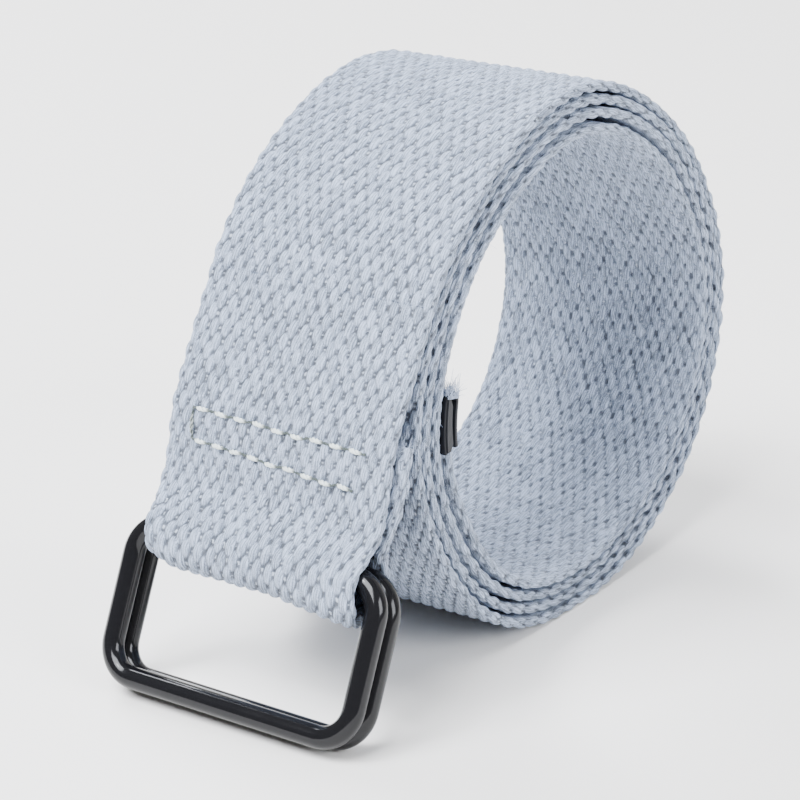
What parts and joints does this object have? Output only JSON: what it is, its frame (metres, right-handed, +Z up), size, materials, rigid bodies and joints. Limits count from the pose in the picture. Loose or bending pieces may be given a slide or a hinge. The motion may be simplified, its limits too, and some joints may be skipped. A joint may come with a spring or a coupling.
{
  "type": "double ring belt, rolled up",
  "caption": "Cotton webbing waist belt, rolled up, with two wire rings held in a sewn loop and a metal tip on its free end.",
  "frame": {"origin": "centre of the bounding box at its base, on the surface that the rolled belt stands on", "axes": "+X along the roll's axis and the rings' bars, +Y from the rings towards the back of the roll, +Z up"},
  "size_m": [0.0448, 0.1086, 0.0809],
  "materials": {
    "webbing": "matte",
    "black_wire": "gloss",
    "dark_metal": "satin"
  },
  "bodies": {
    "belt": {"strap": "webbing", "end_tip": "dark_metal"},
    "front_ring": {"ring_front": "black_wire"},
    "back_ring": {"ring_back": "black_wire"}
  },
  "joints": [
    {"name": "front_ring_hinge", "type": "hinge", "parent": "belt", "child": "front_ring", "pos_m": [0, -0.04384, 0.02311], "axis": [-1, 0, 0], "range_deg": [0, 155]},
    {"name": "back_ring_hinge", "type": "hinge", "parent": "belt", "child": "back_ring", "pos_m": [0, -0.04081, 0.02179], "axis": [1, 0, 0], "range_deg": [0, 70]}
  ]
}
